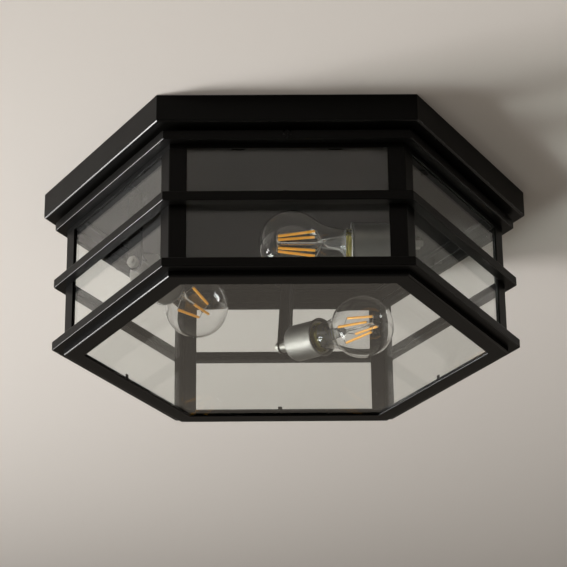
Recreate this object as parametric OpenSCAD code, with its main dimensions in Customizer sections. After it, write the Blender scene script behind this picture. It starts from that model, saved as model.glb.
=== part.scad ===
// Hexagonal flush ceiling lantern with three horizontal filament bulbs.
// Millimetres. The ceiling is z = 0 and the lantern hangs below it. Corners point along +X and -X.
// "Flats" are widths across two opposite flat sides of a hexagon.

/* [Canopy] */
// Width of the canopy across its flats
canopy_flats = 390; // [376:1:460]
// Depth of the canopy skirt
canopy_depth = 25.5; // [20:0.5:40]
// Sheet thickness of the canopy pan
canopy_sheet = 1.2; // [0.8:0.1:2]
// Outside radius of the folded lower edge
canopy_bend = 2.4; // [2.1:0.1:4]
// Width of the collar under the canopy, across its flats
collar_flats = 335; // [325:1:338]
// Height of the collar strip
collar_height = 12; // [11:0.5:16]

/* [Cage] */
// Width of the cage across the flat faces of its posts
cage_flats = 352; // [346:1:364]
// Sheet thickness of posts and frames
cage_sheet = 1.5; // [1:0.1:2]
// Open gap between the canopy and the top band
shadow_gap = 3.3; // [2:0.1:6]
// Overall height below the ceiling
lantern_height = 163.5; // [158:0.5:220]
// Height of the top frame's strip
top_strip = 13.2; // [12:0.1:20]
// Depth below the ceiling of the middle band's upper edge
middle_band_drop = 87.3; // [70:0.1:110]
// Rise of the low band's lower edge above the bottom
low_band_rise = 5.3; // [3:0.1:10]
// Height of each band
band_height = 8.8; // [7:0.1:11]
// Projection of each band from the posts
band_projection = 9.5; // [6:0.1:11]
// Wall of the hollow bands
band_wall = 1; // [0.8:0.1:1.5]
// Rounding of the band edges
band_edge = 0.8; // [0.4:0.1:1.5]
// Width of each post flange
post_flange = 15; // [12:0.5:22]
// Width of the flat rim round the bottom glass
rim_width = 16.5; // [15:0.5:24]
// Height of the bottom frame's upright strip
bottom_strip = 14.7; // [11:0.1:20]

/* [Glass] */
// Thickness of every pane
glass = 3; // [2:0.5:4]
// Clearance between glass and metal
glass_gap = 0.3; // [0.2:0.05:0.6]
// Distance of each pane clip from the middle of its pane
clip_offset = 42; // [25:1:70]
// Width of pane clips and bottom glass tabs
clip_width = 12; // [8:1:18]

/* [Lamps] */
// Depth of the lamp axes below the ceiling
lamp_drop = 95; // [85:1:105]
// Distance of the lamp seats from the centre
lamp_radius = 144; // [138:1:148]
// Bearing of each lamp's seat, in degrees
lamp_bearings = [-39.8, 200.8, 90.3];
// Heading of each lamp's axis, in degrees
lamp_headings = [180, 61, -45];
// Droop of each lamp's axis below level, in degrees
lamp_droops = [0, 0, 5.5];
// Length of a lampholder from its strap to its mouth
holder_length = 53.5; // [50:0.5:58]
// Wall of the ceramic core round its screw shell
core_wall = 2; // [1.5:0.1:4]
// Length of screw cap left showing at the mouth
cap_show = 4.5; // [3:0.5:8]
// Diameter of a bulb's globe
bulb_d = 60; // [55:1:65]
// Length of a bulb
bulb_length = 105; // [100:1:112]
// Diameter of a bulb's screw cap
cap_d = 26; // [25.5:0.1:26.4]
// Length of a bulb's metal cap with its tip
cap_length = 27; // [25:0.5:29]

/* [Mounting] */
// Distance between the two ceiling box screws
box_screw_spacing = 88.9; // [69.8:0.1:95]
// Distance between the two canopy studs
stud_spacing = 112; // [108:1:120]

/* [Hidden] */
$fn = 48;
cos30 = cos(30);
overlap = 1;                 // how far a cutting shape runs past what it cuts
running_gap = 0.05;          // radial clearance of a screw in its hole

// Levels, all below the ceiling
canopy_low = -canopy_depth;
plate_top = canopy_low + canopy_sheet;
cage_top = canopy_low - shadow_gap;
window_top = cage_top - top_strip;
middle_low = -middle_band_drop - band_height;
bottom = -lantern_height;
low_low = bottom + low_band_rise;
strip_top = bottom + bottom_strip;
rim_top = bottom + cage_sheet;
pane_top = window_top + 4;
pane_low = rim_top + glass_gap;
screw_level = cage_top - band_height / 2;
collar_low = canopy_low - collar_height;

// Distances of the flat faces from the centre line
cage_face = cage_flats / 2;
cage_inside = cage_face - cage_sheet;
band_face = cage_face + band_projection;
pane_face = cage_inside - glass_gap;
pane_inside = pane_face - glass;
bottom_pane_face = pane_inside - 5.2;
rim_inside = cage_face - rim_width;
collar_face = collar_flats / 2;
collar_sheet = 1.5;
collar_flange = 6;

// Glass clips on the top frame, tabs on the bottom frame, and the screws of both
clip_sheet = 0.8;
clip_foot_top = cage_top - 1.6;
clip_bridge = pane_top + glass_gap + clip_sheet;
clip_low = window_top - 2;
glass_screw_d = 2.5;
glass_screw_head_d = 4.2;
glass_screw_head = 1.5;
tab_screw_face = (pane_inside + bottom_pane_face) / 2;
tab_post_d = 4.3;
tab_length = 10;
tab_end = pane_inside - glass_gap;
tongue_width = 4;
tongue_rise = 1.2;           // how far a tab's tongue passes the bottom frame's upper edge
bottom_pane_top = rim_top + 2 * glass_gap + glass;

// Side screws that carry the cage
side_screw_faces = [0, 2, 4];
side_screw_d = 3.9;
side_screw_head_d = 8;
side_screw_head = 2.4;
side_screw_reach = 3;        // how far the tip passes the collar's outer face
notch_play = 0.35;

// Lamps
globe_r = bulb_d / 2;
globe_x = holder_length + cap_show + bulb_length - cap_length - globe_r;
cap_front = holder_length + cap_show;
bulb_tip = cap_front - cap_length;
glass_wall = 0.7;
neck_r = cap_d / 2 + 0.2;
neck_curve = 45;
strap_width = 14;
strap_sheet = 1.5;
strap_foot = 17;
strap_bend = 2.5;
rivet_from_bend = 10;
rivet_d = 4;
rivet_head_d = 7.4;
rivet_head = 1.6;
holder_screw_d = 6;
holder_screw_head_d = 9.6;
holder_screw_head = 3;
holder_nut_flats = 10;
holder_nut = 5;
thread_show = 2.5;           // how far the screw passes its nut
spacer_length = 16;
spacer_d = 12;
socket_gap = 0.4;            // radial clearance round the screw cap
shell_wall = 0.5;
shell_r = cap_d / 2 + socket_gap;
shell_bore = 0.3;            // clearance of the screw shell in its core
core_d = 2 * (shell_r + shell_wall + shell_bore + core_wall);
core_back = spacer_length + 4;
core_front = holder_length - 3;
core_floor = bulb_tip - 4;
core_boss_r = 5.5;
core_chamfer = 2;
cup_wall = 1;
cup_gap = 0.6;               // clearance of the core in its cup
cup_d = core_d + 2 * (cup_gap + cup_wall);
cup_corner = 4;              // rounding of the cup's back edge
cup_rim_d = cup_d + 1.8;
cup_rim = 2.4;
cup_wire_hole_d = 6;
contact_width = 5;
contact_sheet = 0.5;
contact_gap = 0.3;
led_r = 1.25;
led_base_r = 12.4;
led_tip_r = 7.7;
led_base_x = globe_x - 20.2;
led_tip_x = globe_x + 12.3;
led_phases = [37, 40, 0];     // turn of each bulb's filaments about its axis
support_r = 0.4;
stem_press = globe_x - 24;

// Mounting parts
crossbar_length = 140;
crossbar_width = 22;
crossbar_sheet = 2;
box_slot_width = 4.8;
box_slot_length = 12;
stud_d = 4;
stud_hole = 0.3;
cap_nut_flats = 7;
cap_nut = 5;
ground_screw_y = 20;

// Wiring
grommet_x = 6.5;
grommet_hole_d = 9;
grommet_flange = 1.5;
grommet_wall = 0.8;
lead_d = 2.2;
lead_pitch = 2.7;
lead_sides = 6;
connector_d = 13;
connector_length = 22;
connector_level = -13;
connector_at = [[-26, 44], [26, 44]];
lead_spread = 2.4;           // distance of each lead from a connector's axis
connector_bore = 2 * (lead_spread + 0.3) + lead_d;
lead_seat = 9.2;             // height above the lamp's axis where the leads enter the core
// Points that each lamp's two leads pass on their way across the canopy, [lamp][lead]
lead_via = [
    [
        [[95, -88, -15], [92, -72, -12], [95, 0, -9], [84, 62, -8], [54, 104, -6], [4, 110, -6],
            [-22, 94, -8]],
        [[94, -93, -18], [86, -84, -18], [86, 0, -16], [74, 60, -15], [52, 90, -13], [31, 92, -9.5]]
    ], [
        [[-125, -34, -19], [-120, 0, -17], [-100, 54, -16], [-66, 88, -15], [-36, 92, -14.5]],
        [[-129, -32, -20], [-127, 2, -20], [-106, 60, -21], [-62, 102, -21], [-20, 110, -21],
            [8, 98, -20], [21, 86, -17]]
    ], [
        [[9, 127, -17], [4, 112, -15], [-12, 94, -14]],
        [[15, 127, -17], [24, 112, -15], [28, 92, -14]]
    ]
];

FACES = ["front", "front_right", "back_right", "back", "back_left", "front_left"];
CORNERS = ["front_right", "right", "back_right", "back_left", "left", "front_left"];
LAMPS = [0, 1, 2];

// ---------- shared shapes ----------

function corner_r(flats) = flats / 2 / cos30;
function face_angle(k) = 60 * k - 90;
function corner_angle(k) = 60 * k - 60;
function arc(x, y, r, from, to, steps) =
    [for (i = [0:steps]) let (a = from + (to - from) * i / steps) [x + r * cos(a), y + r * sin(a)]];

module hex_prism(flats, low, high)
    translate([0, 0, low]) cylinder(r = corner_r(flats), h = high - low, $fn = 6);

module hex_ring(outside, inside, low, high) difference() {
    hex_prism(outside, low, high);
    hex_prism(inside, low - overlap, high + overlap);
}

// Sweeps a profile round the hexagon. The profile's x is the distance of a flat from the centre.
module hex_sweep() rotate_extrude($fn = 6) scale([1 / cos30, 1]) children();

// Turns children so that their +X points out of face k
module at_face(k) rotate([0, 0, face_angle(k)]) children();

// A screw, pin or hole along +X
module rod_x(r, from, to) translate([from, 0, 0]) rotate([0, 90, 0]) cylinder(r = r, h = to - from);

// A body of revolution about the X axis, from [radius, x] points
module turned_x(points) rotate([0, 90, 0]) rotate_extrude() polygon(points);

// ---------- mounting parts ----------

// Slotted steel bar along Y that screws to the ceiling box
module mounting_crossbar() color("#a9a8a2") rotate([0, 0, 90]) difference() {
    straight = crossbar_length - crossbar_width;
    union() {
        translate([-straight / 2, -crossbar_width / 2, -crossbar_sheet])
            cube([straight, crossbar_width, crossbar_sheet]);
        for (side = [-1, 1]) translate([side * straight / 2, 0, -crossbar_sheet])
            cylinder(d = crossbar_width, h = crossbar_sheet);
    }
    for (side = [-1, 1]) {
        translate([side * box_screw_spacing / 2, 0, 0]) box_slot();
        translate([side * stud_spacing / 2, 0, -crossbar_sheet - overlap])
            cylinder(d = stud_d + 2 * running_gap, h = crossbar_sheet + 2 * overlap);
    }
    translate([ground_screw_y, 0, -crossbar_sheet - overlap])
        cylinder(d = stud_d + 2 * running_gap, h = crossbar_sheet + 2 * overlap);
}

module box_slot() translate([0, 0, -crossbar_sheet - overlap]) {
    for (end = [-1, 1])
        translate([end * (box_slot_length - box_slot_width) / 2, 0, 0])
            cylinder(d = box_slot_width, h = crossbar_sheet + 2 * overlap);
    translate([(box_slot_width - box_slot_length) / 2, -box_slot_width / 2, 0])
        cube([box_slot_length - box_slot_width, box_slot_width, crossbar_sheet + 2 * overlap]);
}

module at_studs() for (side = [-1, 1]) translate([0, side * stud_spacing / 2, 0]) children();

// Threaded studs that hang from the crossbar through the canopy
module canopy_studs() color("#b8b4a4") at_studs()
    translate([0, 0, canopy_low - cap_nut]) cylinder(d = stud_d, h = cap_nut + canopy_depth);

// Domed nuts under the canopy plate
module cap_nuts() color("#1d1c1b") at_studs() translate([0, 0, canopy_low - cap_nut]) difference() {
    union() {
        cylinder(r = corner_r(cap_nut_flats), h = cap_nut, $fn = 6);
        intersection() {
            translate([0, 0, 0.5]) sphere(d = cap_nut_flats);
            translate([0, 0, -cap_nut]) cylinder(d = cap_nut_flats, h = cap_nut);
        }
    }
    cylinder(d = stud_d + 2 * running_gap, h = cap_nut + overlap);
}

// Green earth screw under the crossbar
module ground_screw() color("#3f7d4a") translate([0, ground_screw_y, 0]) difference() {
    union() {
        translate([0, 0, -crossbar_sheet]) cylinder(d = stud_d, h = crossbar_sheet);
        translate([0, 0, -crossbar_sheet - 2.4]) cylinder(r = corner_r(8), h = 2.4, $fn = 6);
    }
    translate([-5, -0.5, -crossbar_sheet - 2.4 - overlap]) cube([10, 1, overlap + 1.2]);
}

// ---------- canopy ----------

// Folded tray: a plate with a skirt up to the ceiling and a rounded lower edge
module canopy_pan() color("#1c1b1a") difference() {
    union() {
        hex_prism(canopy_flats - 2 * canopy_bend, canopy_low, plate_top);
        hex_sweep() canopy_edge();
    }
    at_studs() translate([0, 0, canopy_low - overlap])
        cylinder(d = stud_d + 2 * stud_hole, h = canopy_sheet + 2 * overlap);
    for (k = LAMPS) at_strap(k) {
        rivet_hole(k);
        translate([strap_top_x(k) + grommet_x, 0, lamp_drop + canopy_low - overlap])
            cylinder(d = grommet_hole_d, h = canopy_sheet + 2 * overlap);
    }
}

// Section of the skirt and its folded edge, from the plate's rim up to the ceiling
module canopy_edge() {
    face = canopy_flats / 2;
    inner_bend = canopy_bend - canopy_sheet;
    centre = face - canopy_bend;
    level = canopy_low + canopy_bend;
    polygon(concat(
        [[face, 0]],
        arc(centre, level, canopy_bend, 0, -90, 5),
        [[centre - overlap, canopy_low], [centre - overlap, plate_top]],
        arc(centre, level, inner_bend, -90, 0, 5),
        [[face - canopy_sheet, 0]]
    ));
}

// Strip welded under the plate; each side screw sits at the top of an open notch
module canopy_collar() color("#1c1b1a") difference() {
    union() {
        hex_ring(2 * collar_face, 2 * (collar_face - collar_sheet), collar_low, canopy_low);
        hex_ring(2 * collar_face, 2 * (collar_face - collar_flange),
            canopy_low - collar_sheet, canopy_low);
    }
    for (k = side_screw_faces) at_face(k) collar_notch();
}

module collar_notch() {
    r = side_screw_d / 2 + notch_play;
    translate([0, 0, screw_level]) rod_x(r, collar_face - 2 * collar_sheet, collar_face + overlap);
    translate([collar_face - 2 * collar_sheet, -r, collar_low - overlap])
        cube([2 * collar_sheet + overlap, 2 * r, screw_level - collar_low + overlap]);
}

// ---------- lamps ----------

// The frame of lamp k: its seat is the origin. at_strap stays upright, at_lamp follows the lamp's axis.
module at_strap(k)
    translate([lamp_radius * cos(lamp_bearings[k]), lamp_radius * sin(lamp_bearings[k]), -lamp_drop])
        rotate([0, 0, lamp_headings[k]]) children();

module at_lamp(k) at_strap(k) rotate([0, lamp_droops[k], 0]) children();

strap_rise = lamp_drop - canopy_depth;
function strap_top_x(k) = strap_rise * tan(lamp_droops[k]);
function strap_rivet_x(k) = strap_top_x(k) - strap_bend - rivet_from_bend;

// Flat bar bent to an L: a leg across the lamp's axis and a foot under the canopy
module lamp_strap(k) color("#1a1918") {
    difference() {
        at_lamp(k) {
            rotate([90, 0, 0])
                linear_extrude(strap_width, center = true) polygon(strap_section(lamp_droops[k]));
            rod_x(strap_width / 2, -strap_sheet, 0);
        }
        at_lamp(k) rod_x(holder_screw_d / 2 + running_gap, -strap_sheet - overlap, overlap);
        at_strap(k) rivet_hole(k);
    }
}

// The strap seen from its edge in the lamp's frame, where droop tips the level foot
function strap_section(droop) = let (
    level = (strap_rise - strap_bend * (1 + sin(droop))) / cos(droop),
    centre = [-strap_bend, level],
    up = [-sin(droop), cos(droop)],
    foot = centre - (strap_foot - strap_bend) * [cos(droop), sin(droop)],
    inner_bend = strap_bend - strap_sheet
) concat(
    [[0, 0]],
    arc(centre[0], level, strap_bend, 0, 90 + droop, 5),
    [foot + strap_bend * up, foot + inner_bend * up],
    arc(centre[0], level, inner_bend, 90 + droop, 0, 5),
    [[-strap_sheet, 0]]
);

module rivet_hole(k)
    translate([strap_rivet_x(k), 0, strap_rise - strap_sheet - overlap])
        cylinder(d = rivet_d + 2 * running_gap, h = strap_sheet + canopy_sheet + 2 * overlap);

// Round-head rivets that hold the strap feet to the canopy plate
module strap_rivets() color("#242220") for (k = LAMPS) at_strap(k)
    translate([strap_rivet_x(k), 0, strap_rise]) {
        rivet_span = strap_sheet + canopy_sheet;
        translate([0, 0, -strap_sheet]) cylinder(d = rivet_d, h = rivet_span);
        translate([0, 0, canopy_sheet]) cylinder(d = rivet_head_d * 0.8, h = rivet_head * 0.7);
        translate([0, 0, -strap_sheet - rivet_head])
            cylinder(d1 = rivet_head_d * 0.6, d2 = rivet_head_d, h = rivet_head);
    }

module holder_spacers() color("#8d8a84") for (k = LAMPS) at_lamp(k) difference() {
    rod_x(spacer_d / 2, 0, spacer_length);
    rod_x(holder_screw_d / 2 + running_gap, -overlap, spacer_length + overlap);
}

// Drawn metal cup with a flat back, a wire hole in it and a rolled mouth
module holder_cup(k) color("#2c2b2a") at_lamp(k) difference() {
    turned_x(cup_section());
    rod_x(holder_screw_d / 2 + running_gap, spacer_length - overlap, spacer_length + 2 * cup_wall);
    translate([0, 0, lead_seat])
        rod_x(cup_wire_hole_d / 2, spacer_length - overlap, spacer_length + 2 * cup_wall);
}

function cup_section() = let (
    r = cup_d / 2,
    side_r = r - cup_corner,
    corner_x = spacer_length + cup_corner,
    steps = 8
) concat(
    [[0, spacer_length]],
    arc(side_r, corner_x, cup_corner, -90, 0, steps),
    [[r, holder_length - cup_rim], [cup_rim_d / 2, holder_length - cup_rim + 0.7]],
    [[cup_rim_d / 2, holder_length - 0.5], [cup_rim_d / 2 - 0.5, holder_length]],
    [[r - cup_wall, holder_length]],
    arc(side_r, corner_x, cup_corner - cup_wall, 0, -90, steps),
    [[0, spacer_length + cup_wall]]
);

// Ceramic body of the lampholder
module holder_core(k) color("#e9e5da") at_lamp(k) difference() {
    turned_x([
        [0, spacer_length + cup_wall], [core_boss_r, spacer_length + cup_wall],
        [core_boss_r, core_back], [core_d / 2 - core_chamfer, core_back],
        [core_d / 2, core_back + core_chamfer], [core_d / 2, core_front],
        [shell_r + shell_wall + shell_bore, core_front], [shell_r + shell_wall + shell_bore, core_floor],
        [0, core_floor]
    ]);
    rod_x(holder_screw_d / 2 + running_gap, spacer_length, core_floor + overlap);
    for (side = [-1, 1]) translate([0, side * lead_pitch / 2, lead_seat])
        rod_x(lead_d / 2 + 0.35, core_back - overlap, core_back + 4);
    rod_x(holder_screw_head_d / 2 + 0.4, core_floor - holder_screw_head - 0.4, core_floor + overlap);
}

// Nickelled screw shells; the thread is left smooth
module holder_shells() color("#c9b98a") for (k = LAMPS) at_lamp(k) turned_x([
    [shell_r - 5, core_floor], [shell_r + shell_wall, core_floor],
    [shell_r + shell_wall, core_front + 1], [shell_r, core_front + 1],
    [shell_r, core_floor + shell_wall], [shell_r - 5, core_floor + shell_wall]
]);

// Sprung tongues that touch the bulbs' tips
module holder_contacts() color("#c9a24a") for (k = LAMPS) at_lamp(k)
    linear_extrude(contact_width, center = true) let (front = bulb_tip - contact_gap) polygon([
        [core_floor, -7], [core_floor + contact_sheet, -7], [core_floor + contact_sheet, -3],
        [front, -0.5], [front, 3], [front - contact_sheet, 3],
        [front - contact_sheet, -0.2], [core_floor, -2.6]
    ]);

module holder_screws() color("#a9a8a2") for (k = LAMPS) at_lamp(k) {
    head_x = core_floor - holder_screw_head - 0.3;
    rod_x(holder_screw_d / 2, -strap_sheet - holder_nut - thread_show, head_x + 0.5);
    rod_x(holder_screw_head_d / 2, head_x - 0.1, head_x + holder_screw_head - 0.1);
}

module holder_nuts() color("#b5b3ad") for (k = LAMPS) at_lamp(k) difference() {
    translate([-strap_sheet, 0, 0]) rotate([0, -90, 0])
        cylinder(r = corner_r(holder_nut_flats), h = holder_nut, $fn = 6);
    rod_x(holder_screw_d / 2 + running_gap, -strap_sheet - holder_nut - overlap, 0);
}

// ---------- bulbs ----------

// Blown envelope: a globe that runs through a reverse curve into the neck
module bulb_glass(k) color("#dfe8e6", 0.35) at_lamp(k)
    turned_x(concat(envelope(0), reversed(envelope(glass_wall))));

function reversed(points) = [for (i = [len(points) - 1:-1:0]) points[i]];

// Outline from the tip to the cap; inset moves it inward by the wall
function envelope(inset) = let (
    curve_r = neck_r + neck_curve,
    curve_back = sqrt((globe_r + neck_curve) ^ 2 - curve_r ^ 2),
    meet = atan2(curve_r, -curve_back),
    globe = arc(0, 0, globe_r - inset, 0, meet, 20),
    neck = arc(-curve_back, curve_r, neck_curve + inset, meet - 180, -90, 10)
) concat(
    [for (p = globe) [p[1], globe_x + p[0]]],
    [for (i = [1:len(neck) - 1]) [neck[i][1], globe_x + neck[i][0]]],
    [[neck_r - inset, cap_front]]
);

// Brass screw cap with its black insulator and solder tip
module bulb_cap(k) at_lamp(k) {
    r = cap_d / 2;
    insulator_x = bulb_tip + 1.6;
    shell_x = insulator_x + 3;
    color("#b9a160") turned_x([
        [r - 0.6, shell_x], [r - 1.2, shell_x], [r - 1.8, shell_x - 0.6],
        [r - 2.2, shell_x - 0.6], [r - 2.2, shell_x + 0.6], [r - 0.6, shell_x + 1.2],
        [r - 0.6, cap_front], [neck_r, cap_front], [neck_r, cap_front - 1.6], [r, cap_front - 2.2],
        [r, shell_x + 0.9]
    ]);
    color("#151515") turned_x([
        [0, insulator_x], [4.8, insulator_x], [r - 2.4, shell_x - 0.4], [r - 2.4, shell_x + 0.6],
        [0, shell_x + 0.6]
    ]);
    color("#c8c8c4") turned_x([
        [0, bulb_tip], [2.6, bulb_tip + 0.3], [4.2, bulb_tip + 1.1], [4.4, insulator_x],
        [0, insulator_x]
    ]);
}

// Glass mount with the wires that carry the filaments
module bulb_stem(k) at_lamp(k) {
    flare_r = neck_r - glass_wall - 0.2;
    post_tip = led_tip_x + 1.5;
    color("#dfe8e6", 0.5) turned_x([
        [flare_r - 0.8, cap_front + 0.2], [flare_r, cap_front + 0.2], [flare_r, cap_front + 0.8],
        [6.4, cap_front + 6], [5.2, cap_front + 12], [4.8, stem_press - 6], [3.2, stem_press],
        [1.3, stem_press + 3], [1.3, post_tip - 2], [2.1, post_tip - 1], [1.2, post_tip], [0, post_tip],
        [0, stem_press - 4], [3.6, stem_press - 7], [4.2, cap_front + 12], [5.4, cap_front + 6]
    ]);
    color("#8f9499") for (i = [0:3]) rotate([led_phases[k] + 90 * i, 0, 0]) {
        wire([stem_press - 2, 0, 2.6], [led_base_x - 0.9, 0, led_base_r]);
        wire([post_tip - 1.2, 0, 1.7], [led_tip_x + 0.9, 0, led_tip_r]);
    }
}

// A straight wire between two points of the XZ plane
module wire(from, to, r = support_r) let (
    run = norm(to - from),
    tilt = atan2(to[0] - from[0], to[2] - from[2])
) translate(from) rotate([0, tilt, 0]) cylinder(r = r, h = run, $fn = 16);

module bulb_filaments(k) color("#e08a2a") at_lamp(k)
    for (i = [0:3]) rotate([led_phases[k] + 90 * i, 0, 0])
        wire([led_base_x, 0, led_base_r], [led_tip_x, 0, led_tip_r], led_r);

// ---------- wiring in the canopy ----------

module at_grommet(k) at_strap(k) translate([strap_top_x(k) + grommet_x, 0, strap_rise]) children();

module wire_grommets() color("#2a2a2a") for (k = LAMPS) at_grommet(k) rotate_extrude() {
    bore = grommet_hole_d / 2 - grommet_wall - 0.1;
    polygon([
        [bore, -grommet_flange], [grommet_hole_d / 2 + 1.6, -grommet_flange],
        [grommet_hole_d / 2 + 1.6, 0], [grommet_hole_d / 2 - 0.1, 0],
        [grommet_hole_d / 2 - 0.1, canopy_sheet], [grommet_hole_d / 2 + 1.6, canopy_sheet],
        [grommet_hole_d / 2 + 1.6, canopy_sheet + grommet_flange], [bore, canopy_sheet + grommet_flange]
    ]);
}

// Twist-on connectors that join the lamp leads to the supply
module wire_connectors() color("#c06a2a") for (at = connector_at)
    translate([at[0], at[1], connector_level]) rotate([-90, 0, 0]) difference() {
        rotate_extrude() polygon([
            [0, 0], [connector_d / 2 - 2.5, 0], [connector_d / 2 - 1.8, 1],
            [connector_d / 2, connector_length - 6], [connector_d / 2 + 0.8, connector_length],
            [0, connector_length]
        ]);
        translate([0, 0, connector_length - 7]) cylinder(d = connector_bore, h = 7 + overlap);
    }

// Two leads from each lampholder, up through its grommet and across to the two connectors
module lead_wires() color("#161616") for (k = LAMPS, side = [0, 1])
    tube(smooth(concat(lead_rise(k, side), lead_run(k, side))), lead_d / 2);

// From the core's back, out through the cup's back and up between cup and strap
function lead_rise(k, side) = let (y = (side - 0.5) * lead_pitch, top_x = strap_top_x(k) + grommet_x) [
    from_lamp(k, [core_back + 3.5, y, lead_seat]), from_lamp(k, [spacer_length - 0.5, y, lead_seat]),
    from_lamp(k, [spacer_length - 4.5, y, lead_seat + 1.2]),
    from_lamp(k, [spacer_length - 6.8, y, lead_seat + 5.5]),
    from_lamp(k, [spacer_length - 7.6, y, 26]), from_strap(k, [top_x, y, strap_rise - 6]),
    from_strap(k, [top_x, y, strap_rise + 5])
];

// Across the canopy to its place in the connector
function lead_run(k, side) = let (
    at = connector_at[side],
    turn = 90 + 120 * k,
    end_x = at[0] + lead_spread * cos(turn),
    end_z = connector_level + lead_spread * sin(turn),
    mouth = at[1] + connector_length
) concat(lead_via[k][side], [for (y = [mouth + 8, mouth + 1, mouth - 5]) [end_x, y, end_z]]);

function from_lamp(k, p) = let (a = lamp_droops[k])
    from_strap(k, [p[0] * cos(a) + p[2] * sin(a), p[1], p[2] * cos(a) - p[0] * sin(a)]);
function from_strap(k, p) = let (a = lamp_headings[k], b = lamp_bearings[k]) [
    lamp_radius * cos(b) + p[0] * cos(a) - p[1] * sin(a),
    lamp_radius * sin(b) + p[0] * sin(a) + p[1] * cos(a),
    p[2] - lamp_drop
];

// A rounded path through the points given
function smooth(points, steps = 3) = let (last = len(points) - 1) concat(
    [for (i = [0:last - 1], j = [0:steps - 1]) let (
        t = j / steps,
        a = points[max(i - 1, 0)], b = points[i], c = points[i + 1], d = points[min(i + 2, last)]
    ) (2 * b + (c - a) * t + (2 * a - 5 * b + 4 * c - d) * t ^ 2
        + (3 * b - a - 3 * c + d) * t ^ 3) / 2],
    [points[last]]
);

// A round wire along a path
module tube(path, r) {
    last = len(path) - 1;
    rings = [for (i = [0:last]) let (
        run = path[min(i + 1, last)] - path[max(i - 1, 0)],
        t = run / norm(run),
        u = cross(t, [0.11, 0.17, 1]) / norm(cross(t, [0.11, 0.17, 1])),
        v = cross(t, u)
    ) for (j = [0:lead_sides - 1]) let (a = 360 * j / lead_sides) path[i] + r * (cos(a) * u + sin(a) * v)];
    sides = [for (i = [0:last - 1], j = [0:lead_sides - 1]) let (
        here = i * lead_sides, next = here + lead_sides, k = (j + 1) % lead_sides
    ) each [[here + j, next + j, here + k], [here + k, next + j, next + k]]];
    start = [for (j = [1:lead_sides - 2]) [0, j, j + 1]];
    base = last * lead_sides;
    end = [for (j = [1:lead_sides - 2]) [base, base + j + 1, base + j]];
    polyhedron(rings, concat(sides, start, end));
}

// ---------- cage ----------

module top_frame() color("#1c1b1a") difference() {
    hex_ring(2 * cage_face, 2 * cage_inside, window_top, cage_top);
    side_screw_holes();
    at_clips() translate([0, 0, clip_screw_level]) rod_x(
        glass_screw_d / 2 + running_gap, cage_inside - overlap, cage_face + overlap);
}

clip_screw_level = (clip_foot_top + clip_bridge) / 2;

module side_screw_holes() for (k = side_screw_faces) at_face(k) translate([0, 0, screw_level])
    rod_x(side_screw_d / 2 + running_gap, cage_inside - overlap, band_face + overlap);

module at_clips() for (k = [0:5], side = [-1, 1])
    at_face(k) translate([0, side * clip_offset, 0]) children();

// Band folded to a channel with rounded outer edges, open at its back; low is its lower edge
module band(low) hex_sweep() {
    high = low + band_height;
    polygon(concat(
        [[cage_face, low]],
        arc(band_face - band_edge, low + band_edge, band_edge, -90, 0, 3),
        arc(band_face - band_edge, high - band_edge, band_edge, 0, 90, 3),
        [[cage_face, high], [cage_face, high - band_wall], [band_face - band_wall, high - band_wall]],
        [[band_face - band_wall, low + band_wall], [cage_face, low + band_wall]]
    ));
}

module top_band() color("#1c1b1a") difference() {
    band(cage_top - band_height);
    side_screw_holes();
}

module middle_band() color("#1c1b1a") band(middle_low);

module low_band() color("#1c1b1a") band(low_low);

// Corner post folded from strip, between the two frames
module post(k) color("#1c1b1a") rotate([0, 0, corner_angle(k)]) translate([0, 0, strip_top])
    linear_extrude(window_top - strip_top) polygon(post_section());

function post_section() = let (
    r = corner_r(cage_flats),
    bend = cage_sheet + 0.6,
    centre = r - bend / cos30,
    outer = [r - post_flange * sin(30), post_flange * cos30],
    inner = outer - cage_sheet * [cos30, sin(30)]
) concat(
    [outer],
    arc(centre, 0, bend, 30, -30, 4),
    [[outer[0], -outer[1]], [inner[0], -inner[1]]],
    arc(centre, 0, bend - cage_sheet, -30, 30, 4),
    [inner]
);

// Upright strip folded into the flat rim that carries the bottom glass
module bottom_frame() color("#1c1b1a") difference() {
    hex_sweep() bottom_section();
    for (k = [0:5]) at_face(k) translate([tab_screw_face, 0, bottom - overlap])
        cylinder(d = glass_screw_d + 2 * running_gap, h = cage_sheet + 2 * overlap);
}

module bottom_section() {
    bend = cage_sheet + 0.5;
    centre = [cage_face - bend, bottom + bend];
    polygon(concat(
        [[rim_inside, bottom]],
        arc(centre[0], centre[1], bend, -90, 0, 4),
        [[cage_face, strip_top], [cage_inside, strip_top]],
        arc(centre[0], centre[1], bend - cage_sheet, 0, -90, 4),
        [[rim_inside, rim_top]]
    ));
}

// ---------- glass and what holds it ----------

pane_width = 2 * pane_inside * tan(30) - 1.6;

module pane(k) color("#cfd8d4", 0.35) at_face(k)
    translate([pane_inside, -pane_width / 2, pane_low]) cube([glass, pane_width, pane_top - pane_low]);

module bottom_pane() color("#cfd8d4", 0.35)
    hex_prism(2 * bottom_pane_face, rim_top + glass_gap, rim_top + glass_gap + glass);

// Bent clips screwed to the top frame, each hooked over a pane's upper edge
module pane_clips() color("#3a3937") at_clips() difference() {
    leg_face = pane_inside - glass_gap;
    rotate([90, 0, 0]) linear_extrude(clip_width, center = true) polygon([
        [cage_inside, clip_foot_top], [cage_inside - clip_sheet, clip_foot_top],
        [cage_inside - clip_sheet, clip_bridge], [leg_face - clip_sheet, clip_bridge],
        [leg_face - clip_sheet, clip_low], [leg_face, clip_low],
        [leg_face, clip_bridge - clip_sheet], [cage_inside, clip_bridge - clip_sheet]
    ]);
    translate([0, 0, clip_screw_level]) rod_x(
        glass_screw_d / 2 + running_gap, cage_inside - 2 * clip_sheet, cage_inside + overlap);
}

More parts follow.
